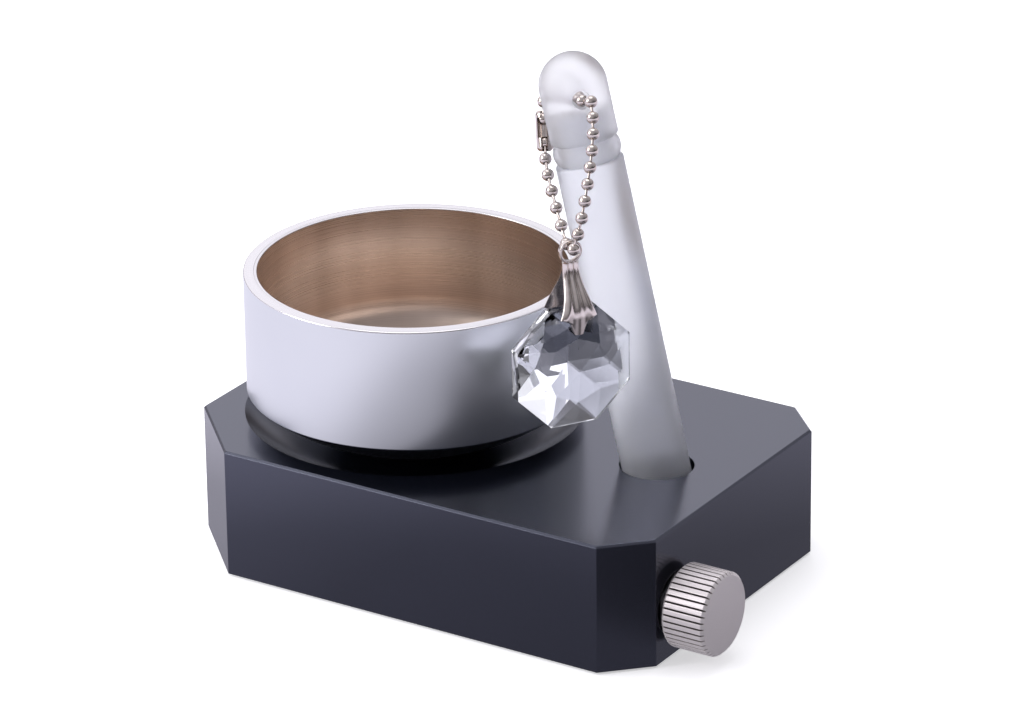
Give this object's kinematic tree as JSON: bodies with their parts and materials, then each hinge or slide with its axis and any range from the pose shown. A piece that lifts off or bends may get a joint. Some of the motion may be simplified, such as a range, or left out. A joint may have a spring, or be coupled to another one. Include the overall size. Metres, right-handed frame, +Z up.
{
  "type": "desk demagnetizer",
  "caption": "Desk demagnetizer: machined block with a coil under a lift-out metal bowl, a side knob, and a leaning frosted wand with a ball chain and crystal pendant.",
  "frame": {"origin": "middle of the pad's resting face under the block", "axes": "+X along the block's length to the end with the knob, -Y to the front, +Z up"},
  "size_m": [0.1177, 0.074, 0.1056],
  "materials": {
    "black_anodised": "satin black anodised, fine bead-blasted grain",
    "plate": "plain milled",
    "steel": "plain bright fasteners",
    "rubber": "matt non-slip",
    "seat_rubber": "matt soft",
    "bobbin_plastic": "moulded nylon",
    "copper": "enamelled copper wire",
    "ferrite": "pressed ferrite",
    "board": "coated circuit board",
    "can": "sleeved capacitor cans",
    "chip": "moulded package",
    "control_metal": "zinc plated control",
    "bushing_brass": "nickel-free brass",
    "knob_chrome": "bright nickel with a satin face",
    "bowl_satin": "satin blasted with a bright rim",
    "bowl_inside": "fine turned lines",
    "frosted": "frosted translucent acrylic",
    "chain_nickel": "bright nickel",
    "bail_nickel": "bright nickel, fluted",
    "crystal": "clear cut crystal"
  },
  "bodies": {
    "base": {"housing": "black_anodised", "bottom_plate": "plate", "bottom_screws": "steel", "resting_pad": "rubber", "dish_seat_pad": "seat_rubber", "coil_bobbin": "bobbin_plastic", "coil_winding": "copper", "coil_core": "ferrite", "driver_board": "board", "board_spacers": "bushing_brass", "board_screws": "steel", "capacitors": "can", "power_switches": "chip", "power_inlet": "steel", "control_body": "control_metal", "control_bushing": "bushing_brass", "control_washer": "steel", "control_nut": "steel"},
    "knob": {"knob": "knob_chrome", "knob_screw": "steel", "control_shaft": "control_metal"},
    "bowl": {"bowl_shell": "bowl_satin", "bowl_liner": "bowl_inside"},
    "wand": {"wand_rod": "frosted", "wand_ring": "frosted"},
    "cap": {"wand_cap": "frosted", "chain_top_beads": "chain_nickel", "chain_top_links": "chain_nickel"},
    "chain": {"chain_beads": "chain_nickel", "chain_links": "chain_nickel", "chain_sleeve": "chain_nickel"},
    "bail": {"bail": "bail_nickel"},
    "crystal": {"crystal": "crystal"}
  },
  "joints": [
    {"name": "knob_turn", "type": "hinge", "parent": "base", "child": "knob", "pos_m": [0.0535, -0.0222, 0.0109], "axis": [1, 0, 0], "range_deg": [-150, 150]},
    {"name": "bowl_lift", "type": "slide", "parent": "base", "child": "bowl", "axis": [0, 0, 1], "range_m": [0, 0.025]},
    {"name": "wand_draw", "type": "slide", "parent": "base", "child": "wand", "axis": [-0.2351, 0, 0.972], "range_m": [0, 0.05]},
    {"name": "cap_pull", "type": "slide", "parent": "wand", "child": "cap", "axis": [-0.2351, 0, 0.972], "range_m": [0, 0.02]},
    {"name": "chain_swing", "type": "hinge", "parent": "cap", "child": "chain", "pos_m": [0.02323, -0.00475, 0.09866], "axis": [-0.7872, 0.3452, -0.511], "range_deg": [0, 20]},
    {"name": "bail_swing", "type": "hinge", "parent": "chain", "child": "bail", "pos_m": [0.028, -0.017, 0.0749], "axis": [-0.8443, 0.5358, 0], "range_deg": [0, 25]},
    {"name": "crystal_rock", "type": "hinge", "parent": "bail", "child": "crystal", "pos_m": [0.028, -0.017, 0.0599], "axis": [-0.8443, 0.5358, 0], "range_deg": [0, 15]}
  ]
}
